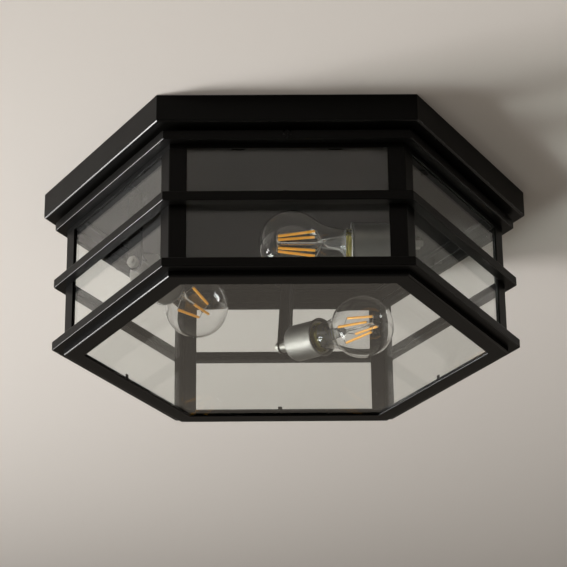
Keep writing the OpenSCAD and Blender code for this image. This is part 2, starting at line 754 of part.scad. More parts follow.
// Tabs that overlap the bottom pane, each on a short post, with a tongue turned up beside the side pane
module glass_tabs() color("#3a3937") for (k = [0:5]) at_face(k) difference() {
    tab_low = bottom_pane_top;
    union() {
        translate([tab_end - tab_length, -clip_width / 2, tab_low])
            cube([tab_length, clip_width, clip_sheet]);
        translate([tab_end - clip_sheet, clip_width / 2 - tongue_width, tab_low])
            cube([clip_sheet, tongue_width, strip_top + tongue_rise - tab_low]);
        translate([tab_screw_face, 0, rim_top]) cylinder(d = tab_post_d, h = tab_low - rim_top);
    }
    translate([tab_screw_face, 0, rim_top - overlap])
        cylinder(d = glass_screw_d + 2 * running_gap, h = 20);
}

module glass_screws() color("#4a4846") {
    at_clips() translate([cage_inside - clip_sheet, 0, clip_screw_level]) {
        rod_x(glass_screw_head_d / 2, -glass_screw_head, 0);
        rod_x(glass_screw_d / 2, 0, clip_sheet + cage_sheet + 1.5);
    }
    for (k = [0:5]) at_face(k) translate([tab_screw_face, 0, 0]) {
        head_low = bottom_pane_top + clip_sheet;
        translate([0, 0, head_low]) cylinder(d = glass_screw_head_d, h = glass_screw_head);
        translate([0, 0, bottom]) cylinder(d = glass_screw_d, h = head_low - bottom);
    }
}

// Round-head screw through the top band and frame into the collar's notch
module side_screw(k) color("#1c1b1a") at_face(k) translate([0, 0, screw_level]) difference() {
    union() {
        rod_x(side_screw_d / 2, collar_face - side_screw_reach, band_face);
        turned_x([
            [0, band_face], [side_screw_head_d / 2, band_face],
            [side_screw_head_d / 2, band_face + side_screw_head * 0.4],
            [side_screw_head_d / 2 * 0.7, band_face + side_screw_head * 0.85],
            [0, band_face + side_screw_head]
        ]);
    }
    translate([band_face + side_screw_head * 0.45, -0.5, -side_screw_head_d])
        cube([side_screw_head, 1, 2 * side_screw_head_d]);
}

// ---------- what is drawn ----------

mounting_crossbar();
canopy_studs();
cap_nuts();
ground_screw();
canopy_pan();
canopy_collar();
strap_rivets();
holder_spacers();
holder_shells();
holder_contacts();
holder_screws();
holder_nuts();
wire_grommets();
wire_connectors();
lead_wires();
for (k = LAMPS) {
    lamp_strap(k);
    holder_cup(k);
    holder_core(k);
    bulb_glass(k);
    bulb_cap(k);
    bulb_stem(k);
    bulb_filaments(k);
}
top_frame();
top_band();
middle_band();
low_band();
bottom_frame();
for (k = [0:5]) {
    post(k);
    pane(k);
}
bottom_pane();
pane_clips();
glass_tabs();
glass_screws();
for (k = side_screw_faces)
    side_screw(k);
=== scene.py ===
"""A hexagonal porch ceiling lantern of black sheet steel, with three clear bulbs behind glass.

The ceiling is z = 0 and the lantern hangs below it. The sizes of the pieces are in millimetres, and
the camera and the lamps are placed in metres.
"""

import math

import bmesh
import bpy
from mathutils import Matrix, Vector


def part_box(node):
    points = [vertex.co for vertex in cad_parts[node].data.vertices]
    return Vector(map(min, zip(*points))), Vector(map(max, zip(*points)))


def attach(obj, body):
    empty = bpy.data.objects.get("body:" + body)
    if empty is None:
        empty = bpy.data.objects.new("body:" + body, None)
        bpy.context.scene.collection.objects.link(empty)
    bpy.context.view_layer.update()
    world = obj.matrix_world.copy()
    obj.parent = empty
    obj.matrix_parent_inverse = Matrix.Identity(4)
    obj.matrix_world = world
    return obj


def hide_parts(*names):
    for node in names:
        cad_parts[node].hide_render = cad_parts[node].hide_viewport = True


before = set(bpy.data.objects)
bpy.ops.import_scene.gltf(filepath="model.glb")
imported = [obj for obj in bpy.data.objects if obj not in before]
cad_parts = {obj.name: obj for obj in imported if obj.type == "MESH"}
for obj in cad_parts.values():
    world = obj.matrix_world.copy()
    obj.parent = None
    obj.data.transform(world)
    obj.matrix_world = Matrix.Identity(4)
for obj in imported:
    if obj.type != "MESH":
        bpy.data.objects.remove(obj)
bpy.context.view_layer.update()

# Camera. It stands below and in front of the lantern and looks up at it through a long lens. Its
# place and its aim were found by fitting the lantern's own edges.
PHOTO_SIDE = 567
FOCAL_PIXELS = 2318.3
eye = Vector((-0.0313, -1.9629, -0.9583))
yaw, pitch, roll = (math.radians(angle) for angle in (0.86, 23.8, -0.65))

level = Vector((math.cos(yaw), -math.sin(yaw), 0))
ahead = Vector((math.sin(yaw), math.cos(yaw), 0))
forward = ahead * math.cos(pitch) + Vector((0, 0, math.sin(pitch)))
rise = level.cross(forward)
right = level * math.cos(roll) + rise * math.sin(roll)
up = rise * math.cos(roll) - level * math.sin(roll)
camera = bpy.data.objects.new("camera", bpy.data.cameras.new("camera"))
camera.data.sensor_width = 36
camera.data.lens = camera.data.sensor_width * FOCAL_PIXELS / PHOTO_SIDE
camera.matrix_world = Matrix.Translation(eye) @ Matrix((right, up, -forward)).transposed().to_4x4()
bpy.context.scene.collection.objects.link(camera)
bpy.context.scene.camera = camera
bpy.context.scene.view_settings.view_transform = "Standard"


# The ceiling. Painted plaster, flat and pale, with the faint stipple that a roller leaves. From
# above it can be seen through, and a hole inside the canopy's rim opens the tray to the sky.
MM = 0.001


def colour(code):
    """A linear colour from an sRGB hex code."""
    channels = [int(code[i : i + 2], 16) / 255 for i in (1, 3, 5)]
    return (*[c / 12.92 if c <= 0.04045 else ((c + 0.055) / 1.055) ** 2.4 for c in channels], 1)


def add(tree, kind, inputs=None, **settings):
    """Adds a node. An input is given a value, or another node's output to be linked to."""
    made = tree.nodes.new(kind)
    for name, value in settings.items():
        setattr(made, name, value)
    for name, value in (inputs or {}).items():
        if isinstance(value, bpy.types.NodeSocket):
            tree.links.new(value, made.inputs[name])
        else:
            made.inputs[name].default_value = value
    return made


def grain(size):
    """The noise scale that gives grains of a size in millimetres."""
    return 1 / (size * MM)


def new_material(name):
    made = bpy.data.materials.new(name)
    made.use_nodes = True
    made.node_tree.nodes.clear()
    return made, made.node_tree


# Matt emulsion over plaster: soft, even and a little warm, with hardly any shine.
ROLLER_STIPPLE = 3.8
PAINT_PATCH = 770
ceiling_paint, tree = new_material("emulsion_on_plaster")
place = add(tree, "ShaderNodeTexCoord").outputs["Object"]
stipple = add(
    tree, "ShaderNodeTexNoise", {"Vector": place, "Scale": grain(ROLLER_STIPPLE), "Detail": 3}
)
patches = add(
    tree, "ShaderNodeTexNoise", {"Vector": place, "Scale": grain(PAINT_PATCH), "Detail": 2}
)
shade = add(
    tree,
    "ShaderNodeMixRGB",
    {"Fac": patches.outputs["Fac"], "Color1": colour("#dcd7d1"), "Color2": colour("#d6d1cb")},
)
relief = add(
    tree,
    "ShaderNodeBump",
    {"Height": stipple.outputs["Fac"], "Strength": 0.035, "Distance": 0.6 * MM},
)
paint = add(
    tree,
    "ShaderNodeBsdfPrincipled",
    {"Base Color": shade.outputs["Color"], "Roughness": 0.9, "Normal": relief.outputs["Normal"]},
)
clear = add(tree, "ShaderNodeBsdfTransparent")
above = add(tree, "ShaderNodeNewGeometry").outputs["Backfacing"]
both = add(tree, "ShaderNodeMixShader", {"Fac": above, 1: paint.outputs[0], 2: clear.outputs[0]})
add(tree, "ShaderNodeOutputMaterial", {"Surface": both.outputs[0]})

CEILING_SIZE = 9000
CEILING_LIFT = 0.2
RIM_LAP = 0.5
hole_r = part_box("canopy_pan")[1].x - RIM_LAP * MM
shell = bmesh.new()
bmesh.ops.create_circle(shell, segments=6, radius=CEILING_SIZE / 2 * MM)
outer = shell.edges[:]
bmesh.ops.create_circle(shell, segments=6, radius=hole_r)
inner = [edge for edge in shell.edges if edge not in outer]
bmesh.ops.bridge_loops(shell, edges=outer + inner)
bmesh.ops.rotate(shell, verts=shell.verts, matrix=Matrix.Rotation(math.pi / 2, 3, "Z"))
bmesh.ops.translate(shell, verts=shell.verts, vec=(0, 0, CEILING_LIFT * MM))
shell.normal_update()
bmesh.ops.reverse_faces(shell, faces=[face for face in shell.faces if face.normal.z > 0])
ceiling = bpy.data.objects.new("ceiling", bpy.data.meshes.new("ceiling"))
shell.to_mesh(ceiling.data)
shell.free()
ceiling.data.materials.append(ceiling_paint)
bpy.context.scene.collection.objects.link(ceiling)


# Canopy. A tray folded from 1.2 mm steel with welded, dressed corners, sprayed with satin black
# powder that cures to a fine orange peel. It carries the lamps and covers the ceiling box.
PEEL = 1.1  # a real peel is finer: this is as coarse as it has to be to show
POWDER_CLOUD = 59
NOISE_SPAN = (0.3, 0.7)  # the values that a noise mostly stays between


def sprayed_powder(name, glossiest, dullest, shine):
    """Black polyester powder cured on steel: nearly black, clouded, with a fine orange peel.

    Its roughness wanders between glossiest and dullest, and shine is its specular level.
    """
    made, tree = new_material(name)
    place = add(tree, "ShaderNodeTexCoord").outputs["Object"]
    peel = add(tree, "ShaderNodeTexNoise", {"Vector": place, "Scale": grain(PEEL), "Detail": 1})
    cloud = add(
        tree,
        "ShaderNodeTexNoise",
        {"Vector": place, "Scale": grain(POWDER_CLOUD), "Detail": 5, "Roughness": 0.6},
    )
    shade = add(
        tree,
        "ShaderNodeMixRGB",
        {"Fac": cloud.outputs["Fac"], "Color1": colour("#060605"), "Color2": colour("#0a0908")},
    )
    gloss = add(
        tree,
        "ShaderNodeMapRange",
        {
            "Value": cloud.outputs["Fac"],
            "From Min": NOISE_SPAN[0],
            "From Max": NOISE_SPAN[1],
            "To Min": glossiest,
            "To Max": dullest,
        },
    )
    relief = add(
        tree,
        "ShaderNodeBump",
        {"Height": peel.outputs["Fac"], "Strength": 0.04, "Distance": 0.05 * MM},
    )
    coat = add(
        tree,
        "ShaderNodeBsdfPrincipled",
        {
            "Base Color": shade.outputs["Color"],
            "Roughness": gloss.outputs["Result"],
            "Specular IOR Level": shine,
            "Normal": relief.outputs["Normal"],
        },
    )
    add(tree, "ShaderNodeOutputMaterial", {"Surface": coat.outputs[0]})
    return made


# On flats the coat scatters what light it returns. Over a fold it is drawn thin and hard, and there
# it returns a clear line of light.
powder_coat = sprayed_powder("satin_black_powder_coat", glossiest=0.3, dullest=0.38, shine=0.08)
powder_on_folds = sprayed_powder(
    "satin_black_powder_coat_on_folds", glossiest=0.18, dullest=0.24, shine=0.5
)

SAME_POINT = 0.002  # points that are closer than this are one point
NEARLY_SAME_POINT = 0.004  # and so are these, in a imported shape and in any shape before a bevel


def soften(shell, width, segments=2, least=40):
    """Rounds the edges that turn by more than the least number of degrees, as worn arrises are."""
    bmesh.ops.remove_doubles(shell, verts=shell.verts, dist=NEARLY_SAME_POINT * MM)
    bmesh.ops.dissolve_degenerate(shell, dist=SAME_POINT * MM, edges=shell.edges)
    bmesh.ops.recalc_face_normals(shell, faces=shell.faces)
    sharp = [e for e in shell.edges if e.is_manifold and e.calc_face_angle() > math.radians(least)]
    bmesh.ops.bevel(
        shell,
        geom=sharp,
        offset=width * MM,
        segments=segments,
        profile=0.5,
        affect="EDGES",
        material=-1,
        clamp_overlap=True,
    )


def piece(shell, name, body, slot, material, *replaced, crease=38):
    """Makes a piece of the lantern, rides it on its body and hides the nodes it stands for."""
    bmesh.ops.remove_doubles(shell, verts=shell.verts, dist=SAME_POINT * MM)
    bmesh.ops.recalc_face_normals(shell, faces=shell.faces)
    made = bpy.data.objects.new(name, bpy.data.meshes.new(name))
    shell.to_mesh(made.data)
    shell.free()
    made.data.shade_smooth()
    made.data.set_sharp_from_angle(angle=math.radians(crease))
    made.data.materials.append(material)
    bpy.context.scene.collection.objects.link(made)
    even = made.modifiers.new("even_shading", "WEIGHTED_NORMAL")
    even.keep_sharp = True
    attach(made, body)
    if replaced:
        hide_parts(*replaced)
    return made


FOLD_SLOPES = (0.25, 0.97)  # how far up or down a fold's faces point, where 1 is straight


def coated(shell, name, body, *replaced):
    """Makes a piece of powder-coated steel, with the harder shine on its folds and arrises."""
    made = piece(shell, name, body, "black_powder", powder_coat, *replaced)
    made.data.materials.append(powder_on_folds)
    for face in made.data.polygons:
        face.material_index = int(FOLD_SLOPES[0] < abs(face.normal.z) < FOLD_SLOPES[1])
    return made


def packed(name):
    """A copy of a node's shape, its loose triangles joined and its flat faces made whole."""
    shell = bmesh.new()
    shell.from_mesh(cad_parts[name].data)
    bmesh.ops.remove_doubles(shell, verts=shell.verts, dist=NEARLY_SAME_POINT * MM)
    bmesh.ops.dissolve_limit(
        shell,
        angle_limit=math.radians(0.5),
        verts=shell.verts,
        edges=shell.edges,
        delimit={"NORMAL"},
    )
    return shell


shell = packed("canopy_pan")
soften(shell, 0.45)
coated(shell, "canopy_tray", "canopy", "canopy_pan")

shell = packed("canopy_collar")
soften(shell, 0.3)
coated(shell, "collar_strip", "canopy", "canopy_collar")


# Cage. Two strip frames, six folded corner posts and three projecting bands, spot-welded and
# powder-coated as one. Every arris is a little rounded, and that is where the black catches light.
ROOT_3 = math.sqrt(3)


def arc(x, y, radius, start, end, steps):
    """Points round a centre, from one angle in degrees to another."""
    angles = [math.radians(start + (end - start) * i / steps) for i in range(steps + 1)]
    return [(x + radius * math.cos(a), y + radius * math.sin(a)) for a in angles]


def sweep_hexagon(shell, outline):
    """Sweeps a closed outline of (distance of a flat from the centre, height) round the hexagon."""
    corners = [shell.verts.new((2 / ROOT_3 * flat * MM, 0, z * MM)) for flat, z in outline]
    sides = [shell.edges.new(pair) for pair in zip(corners, corners[1:] + corners[:1])]
    bmesh.ops.spin(
        shell,
        geom=corners + sides,
        cent=(0, 0, 0),
        axis=(0, 0, 1),
        angle=math.tau,
        steps=6,
        use_merge=True,
    )


cage_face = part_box("top_frame")[1].y / MM
band_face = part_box("middle_band")[1].y / MM
CAGE_SHEET = 1.5
BAND_WALL = 1
BAND_EDGE = 0.9  # the outside radius of a band's two folds

shell = packed("top_frame")
soften(shell, 0.3)
coated(shell, "top_strip", "cage", "top_frame")

inner_face = band_face - BAND_WALL
for band in ("top_band", "middle_band", "low_band"):
    low, high = (corner.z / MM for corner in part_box(band))
    shell = bmesh.new()
    sweep_hexagon(
        shell,
        [(cage_face, low)]
        + arc(band_face - BAND_EDGE, low + BAND_EDGE, BAND_EDGE, -90, 0, steps=4)
        + arc(band_face - BAND_EDGE, high - BAND_EDGE, BAND_EDGE, 0, 90, steps=4)
        + [(cage_face, high), (cage_face, high - BAND_WALL), (inner_face, high - BAND_WALL)]
        + [(inner_face, low + BAND_WALL), (cage_face, low + BAND_WALL)],
    )
    soften(shell, 0.4)
    coated(shell, band + "_channel", "cage", band)

bottom_low, bottom_high = (corner.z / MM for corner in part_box("bottom_frame"))
BOTTOM_BEND = 2
RIM_WIDTH = 16.5
shell = bmesh.new()
bend_face, bend_level = cage_face - BOTTOM_BEND, bottom_low + BOTTOM_BEND
sweep_hexagon(
    shell,
    [(cage_face - RIM_WIDTH, bottom_low)]
    + arc(bend_face, bend_level, BOTTOM_BEND, -90, 0, steps=5)
    + [(cage_face, bottom_high), (cage_face - CAGE_SHEET, bottom_high)]
    + arc(bend_face, bend_level, BOTTOM_BEND - CAGE_SHEET, 0, -90, steps=5)
    + [(cage_face - RIM_WIDTH, bottom_low + CAGE_SHEET)],
)
soften(shell, 0.35)
coated(shell, "bottom_rim", "cage", "bottom_frame")

POST_FLANGE = 15
POST_BEND = 2.1


def extrude(shell, outline, run):
    """Fills an outline of points in millimetres and draws the face out along a run."""
    face = shell.faces.new([shell.verts.new([c * MM for c in point]) for point in outline])
    grown = bmesh.ops.extrude_face_region(shell, geom=[face])["geom"]
    far = [part for part in grown if isinstance(part, bmesh.types.BMVert)]
    bmesh.ops.translate(shell, verts=far, vec=[c * MM for c in run])


tip = cage_face * 2 / ROOT_3
centre = tip - POST_BEND * 2 / ROOT_3
end_x, end_y = tip - POST_FLANGE / 2, POST_FLANGE * ROOT_3 / 2
back_x, back_y = end_x - CAGE_SHEET * ROOT_3 / 2, end_y - CAGE_SHEET / 2
outline = (
    [(end_x, end_y)]
    + arc(centre, 0, POST_BEND, 30, -30, steps=5)
    + [(end_x, -end_y), (back_x, -back_y)]
    + arc(centre, 0, POST_BEND - CAGE_SHEET, -30, 30, steps=5)
    + [(back_x, back_y)]
)
CORNERS = ("front_right", "right", "back_right", "back_left", "left", "front_left")
for k, corner in enumerate(CORNERS):
    low, high = (end.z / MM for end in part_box("post_" + corner))
    shell = bmesh.new()
    extrude(shell, [(x, y, low) for x, y in outline], (0, 0, high - low))
    about = Matrix.Rotation(math.radians(60 * (k - 1)), 3, "Z")
    bmesh.ops.rotate(shell, verts=shell.verts, matrix=about)
    soften(shell, 0.25)
    coated(shell, "corner_" + corner, "cage", "post_" + corner)


# Glass. Clear 3 mm float with ground arrises: six upright panes, and one hexagon that lies in the
# bottom frame. The glass is low in iron, so even its edges keep only a trace of green.
DUST_PATCH = 42
DUSTY = (0.45, 0.8)  # where the noise starts to be dust, and where the dust is at its thickest


def clear_glass(name, tint, bend, haze, wave, wave_size):
    """Clear glass, dusty in patches and slightly waved, that lets the lamps' light through.

    Bend is its IOR, haze is how dull its dustiest parts are, and wave is the height of its waves.
    """
    made, tree = new_material(name)
    place = add(tree, "ShaderNodeTexCoord").outputs["Object"]
    dust = add(
        tree, "ShaderNodeTexNoise", {"Vector": place, "Scale": grain(DUST_PATCH), "Detail": 6}
    )
    dull = add(
        tree,
        "ShaderNodeMapRange",
        {
            "Value": dust.outputs["Fac"],
            "From Min": DUSTY[0],
            "From Max": DUSTY[1],
            "To Min": 0,
            "To Max": haze,
        },
    )
    ripple = add(
        tree, "ShaderNodeTexNoise", {"Vector": place, "Scale": grain(wave_size), "Detail": 1}
    )
    relief = add(tree, "ShaderNodeBump", {"Height": ripple.outputs["Fac"], "Distance": wave * MM})
    body = add(
        tree,
        "ShaderNodeBsdfPrincipled",
        {
            "Base Color": colour(tint),
            "Transmission Weight": 1,
            "IOR": bend,
            "Roughness": dull.outputs["Result"],
            "Normal": relief.outputs["Normal"],
        },
    )
    path = add(tree, "ShaderNodeLightPath").outputs
    passing = add(
        tree,
        "ShaderNodeMath",
        {0: path["Is Shadow Ray"], 1: path["Is Diffuse Ray"]},
        operation="MAXIMUM",
    )
    clear = add(tree, "ShaderNodeBsdfTransparent", {"Color": colour(tint)})
    both = add(
        tree,
        "ShaderNodeMixShader",
        {0: passing.outputs[0], 1: body.outputs[0], 2: clear.outputs[0]},
    )
    add(tree, "ShaderNodeOutputMaterial", {"Surface": both.outputs[0]})
    return made


# Float glass, bright and flat. It lays a pale veil of the ceiling over the black inside, and the
# ground arrises catch a thin line.
pane_glass = clear_glass(
    "clear_float_glass", "#fdfffe", bend=1.39, haze=0.02, wave=0.004, wave_size=110
)
ARRIS = 0.5
FACES = ("front", "front_right", "back_right", "back", "back_left", "front_left")
pane_low, pane_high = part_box("pane_front")
pane_size = pane_high - pane_low
pane_middle = (pane_high + pane_low) / 2
for k, side in enumerate(FACES):
    shell = bmesh.new()
    bmesh.ops.create_cube(shell, size=1)
    bmesh.ops.scale(shell, verts=shell.verts, vec=pane_size)
    soften(shell, ARRIS, segments=1)
    bmesh.ops.translate(shell, verts=shell.verts, vec=pane_middle)
    bmesh.ops.rotate(shell, verts=shell.verts, matrix=Matrix.Rotation(math.radians(60 * k), 3, "Z"))
    piece(shell, "side_glass_" + side, "cage", "pane_glass", pane_glass, "pane_" + side, crease=20)

low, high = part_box("bottom_pane")
shell = bmesh.new()
bmesh.ops.create_cone(
    shell, cap_ends=True, segments=6, radius1=high.x, radius2=high.x, depth=high.z - low.z
)
bmesh.ops.rotate(shell, verts=shell.verts, matrix=Matrix.Rotation(math.pi / 6, 3, "Z"))
soften(shell, ARRIS, segments=1)
bmesh.ops.translate(shell, verts=shell.verts, vec=(0, 0, (low.z + high.z) / 2))
piece(shell, "bottom_glass", "cage", "pane_glass", pane_glass, "bottom_pane", crease=20)


# Clips, tabs and their screws. Clips bent from spring steel hang over the panes' upper edges, and
# tabs on short posts hold the bottom glass down. All are blacked by the same powder.
CLIP_TRIM = 1.9  # the clips' ends are drawn up until they only just show under the band
CLIP_END = 0.3  # the part of a clip's height that counts as its end
clip_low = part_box("pane_clips")[0].z
shell = packed("pane_clips")
for vert in shell.verts:
    if vert.co.z < clip_low + CLIP_END * MM:
        vert.co.z += CLIP_TRIM * MM
soften(shell, 0.15)
coated(shell, "spring_clips", "cage", "pane_clips")

shell = packed("glass_tabs")
soften(shell, 0.15)
coated(shell, "retaining_tabs", "cage", "glass_tabs")

shell = packed("glass_screws")
soften(shell, 0.3)
coated(shell, "pan_head_screws", "cage", "glass_screws")


# Lampholders. Each hangs on a bent flat bar riveted under the canopy, on a bolt through a spacer.
# A drawn cup with a rolled mouth covers a ceramic core with a brass screw shell and contact.
def mottled(name, patch, shades, roughness, others=None):
    """A surface that wanders between two shades and two roughnesses, in patches of a size."""
    made, tree = new_material(name)
    place = add(tree, "ShaderNodeTexCoord").outputs["Object"]
    noise = add(tree, "ShaderNodeTexNoise", {"Vector": place, "Scale": grain(patch), "Detail": 4})
    first, second = (colour(code) for code in shades)
    shade = add(
        tree, "ShaderNodeMixRGB", {"Fac": noise.outputs["Fac"], "Color1": first, "Color2": second}
    )
    dull = add(
        tree,
        "ShaderNodeMapRange",
        {
            "Value": noise.outputs["Fac"],
            "From Min": NOISE_SPAN[0],
            "From Max": NOISE_SPAN[1],
            "To Min": roughness[0],
            "To Max": roughness[1],
        },
    )
    body = add(
        tree,
        "ShaderNodeBsdfPrincipled",
        {
            "Base Color": shade.outputs["Color"],
            "Roughness": dull.outputs["Result"],
            **(others or {}),
        },
    )
    add(tree, "ShaderNodeOutputMaterial", {"Surface": body.outputs[0]})
    return made


# Smoked lacquer on drawn steel: a grey metal that draws light out into a long soft streak.
holder_grey = mottled(
    "smoked_lacquer_on_drawn_steel", 11, ("#7e7c78", "#908e89"), (0.42, 0.52), {"Metallic": 1}
)

# Zinc plate, passivated and dulled by the air: grey, slightly yellow, with a fine uneven bloom.
zinc = mottled("zinc_plated_steel", 4.5, ("#86847e", "#a09e97"), (0.36, 0.5), {"Metallic": 1})

# Glazed steatite: off-white and glossy, its glaze a little uneven from the firing.
ceramic = mottled("glazed_steatite", 2, ("#dcd7ca", "#efece2"), (0.24, 0.32), {"IOR": 1.55})

# Rolled brass, unlacquered: an olive yellow that is duller where it has been handled.
brass = mottled("rolled_brass", 7.7, ("#aba04f", "#d8cf80"), (0.22, 0.36), {"Metallic": 1})

LAMP_DROP = 95
LAMP_RADIUS = 144
BEARINGS = (-39.8, 200.8, 90.3)  # where each lampholder stands round the canopy
HEADINGS = (180, 61, -45)  # which way its bulb points
DROOPS = (0, 0, 5.5)  # how far its bulb sags below level
lamp_places = [
    Matrix.Translation(
        (
            LAMP_RADIUS * MM * math.cos(math.radians(bearing)),
            LAMP_RADIUS * MM * math.sin(math.radians(bearing)),
            -LAMP_DROP * MM,
        )
    )
    @ Matrix.Rotation(math.radians(heading), 4, "Z")
    @ Matrix.Rotation(math.radians(droop), 4, "Y")
    for bearing, heading, droop in zip(BEARINGS, HEADINGS, DROOPS)
]
TURN_STEPS = 56


def turn(shell, outline, steps=TURN_STEPS):
    """Spins an outline of (distance along the lamp's axis, radius) about that axis."""
    on_axis = outline[0][1] == 0 and outline[-1][1] == 0
    points = [shell.verts.new((x * MM, 0, radius * MM)) for x, radius in outline]
    lines = [shell.edges.new(pair) for pair in zip(points, points[1:])]
    if not on_axis:
        lines.append(shell.edges.new((points[-1], points[0])))
    bmesh.ops.spin(
        shell,
        geom=points + lines,
        cent=(0, 0, 0),
        axis=(1, 0, 0),
        angle=math.tau,
        steps=steps,
        use_merge=True,
    )
    bmesh.ops.remove_doubles(shell, verts=shell.verts, dist=SAME_POINT * MM)


def ridges(start, end, radius, pitch, depth):
    """Outline points of a thread drawn as plain rings, from one place along an axis to another."""
    count = round(abs(end - start) / pitch)
    step = (end - start) / count
    points = [(start, radius - depth)]
    for i in range(count):
        at = start + step * i
        points += [(at + step * 0.35, radius), (at + step * 0.6, radius)]
        points.append((at + step * 0.95, radius - depth))
    return points


def drilled(shell, sides, radius, bore, depth, steps=24):
    """A prism along Z with a hole through it, such as a nut."""
    for count, r in ((sides, radius), (steps, bore)):
        bmesh.ops.create_cone(
            shell, cap_ends=False, segments=count, radius1=r * MM, radius2=r * MM, depth=depth * MM
        )
    for end in (-1, 1):
        rims = [e for e in shell.edges if e.is_boundary and all(v.co.z * end > 0 for v in e.verts)]
        bmesh.ops.bridge_loops(shell, edges=rims)


STRAP_WIDTH, STRAP_SHEET, STRAP_BEND, STRAP_FOOT = 14, 1.5, 2.5, 17
STRAP_ARRIS = 0.3
SPACER, SPACER_R = 16, 6
HOLDER = 53.5
CUP_R, CUP_WALL, CUP_CORNER = 17.8, 1, 4
MOUTH, MOUTH_R, MOUTH_ROLL = HOLDER - 1.2, CUP_R - 0.1, 1.15  # the cup's mouth is rolled outward
CORE_R, CORE_BACK, CORE_FRONT, CORE_FLOOR, CORE_BOSS_R, CORE_CHAMFER = 16.2, 20, 50.5, 27, 5.5, 2
SHELL_R, SHELL_WALL, SHELL_FLANGE, SHELL_CLEARANCE = 13.4, 0.5, 5, 0.3
SHELL_PLAIN, SHELL_LIP = 4, 1  # the shell's wall behind its thread, and what shows past the core
CAP_PITCH = 3.6  # the thread of a household bulb's cap
SCREW_R, SCREW_HEAD_R, SCREW_HEAD, HEAD_ROUND, HEAD_ROOM = 3, 4.8, 3, 0.9, 0.4
THREAD_SHOW, THREAD_PITCH, THREAD_DEPTH = 2.5, 1, 0.45
NUT_FLATS, NUT = 10, 5
CONTACT_FRONT, TONGUE_SHEET, TONGUE_WIDTH, TONGUE_FOOT, TONGUE_RISE = 30.7, 0.5, 5, 7, 3
TONGUE_KNEES = (0.2, 2.6)  # where the inside of its two bends lies
strap_rise = LAMP_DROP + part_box("canopy_pan")[0].z / MM

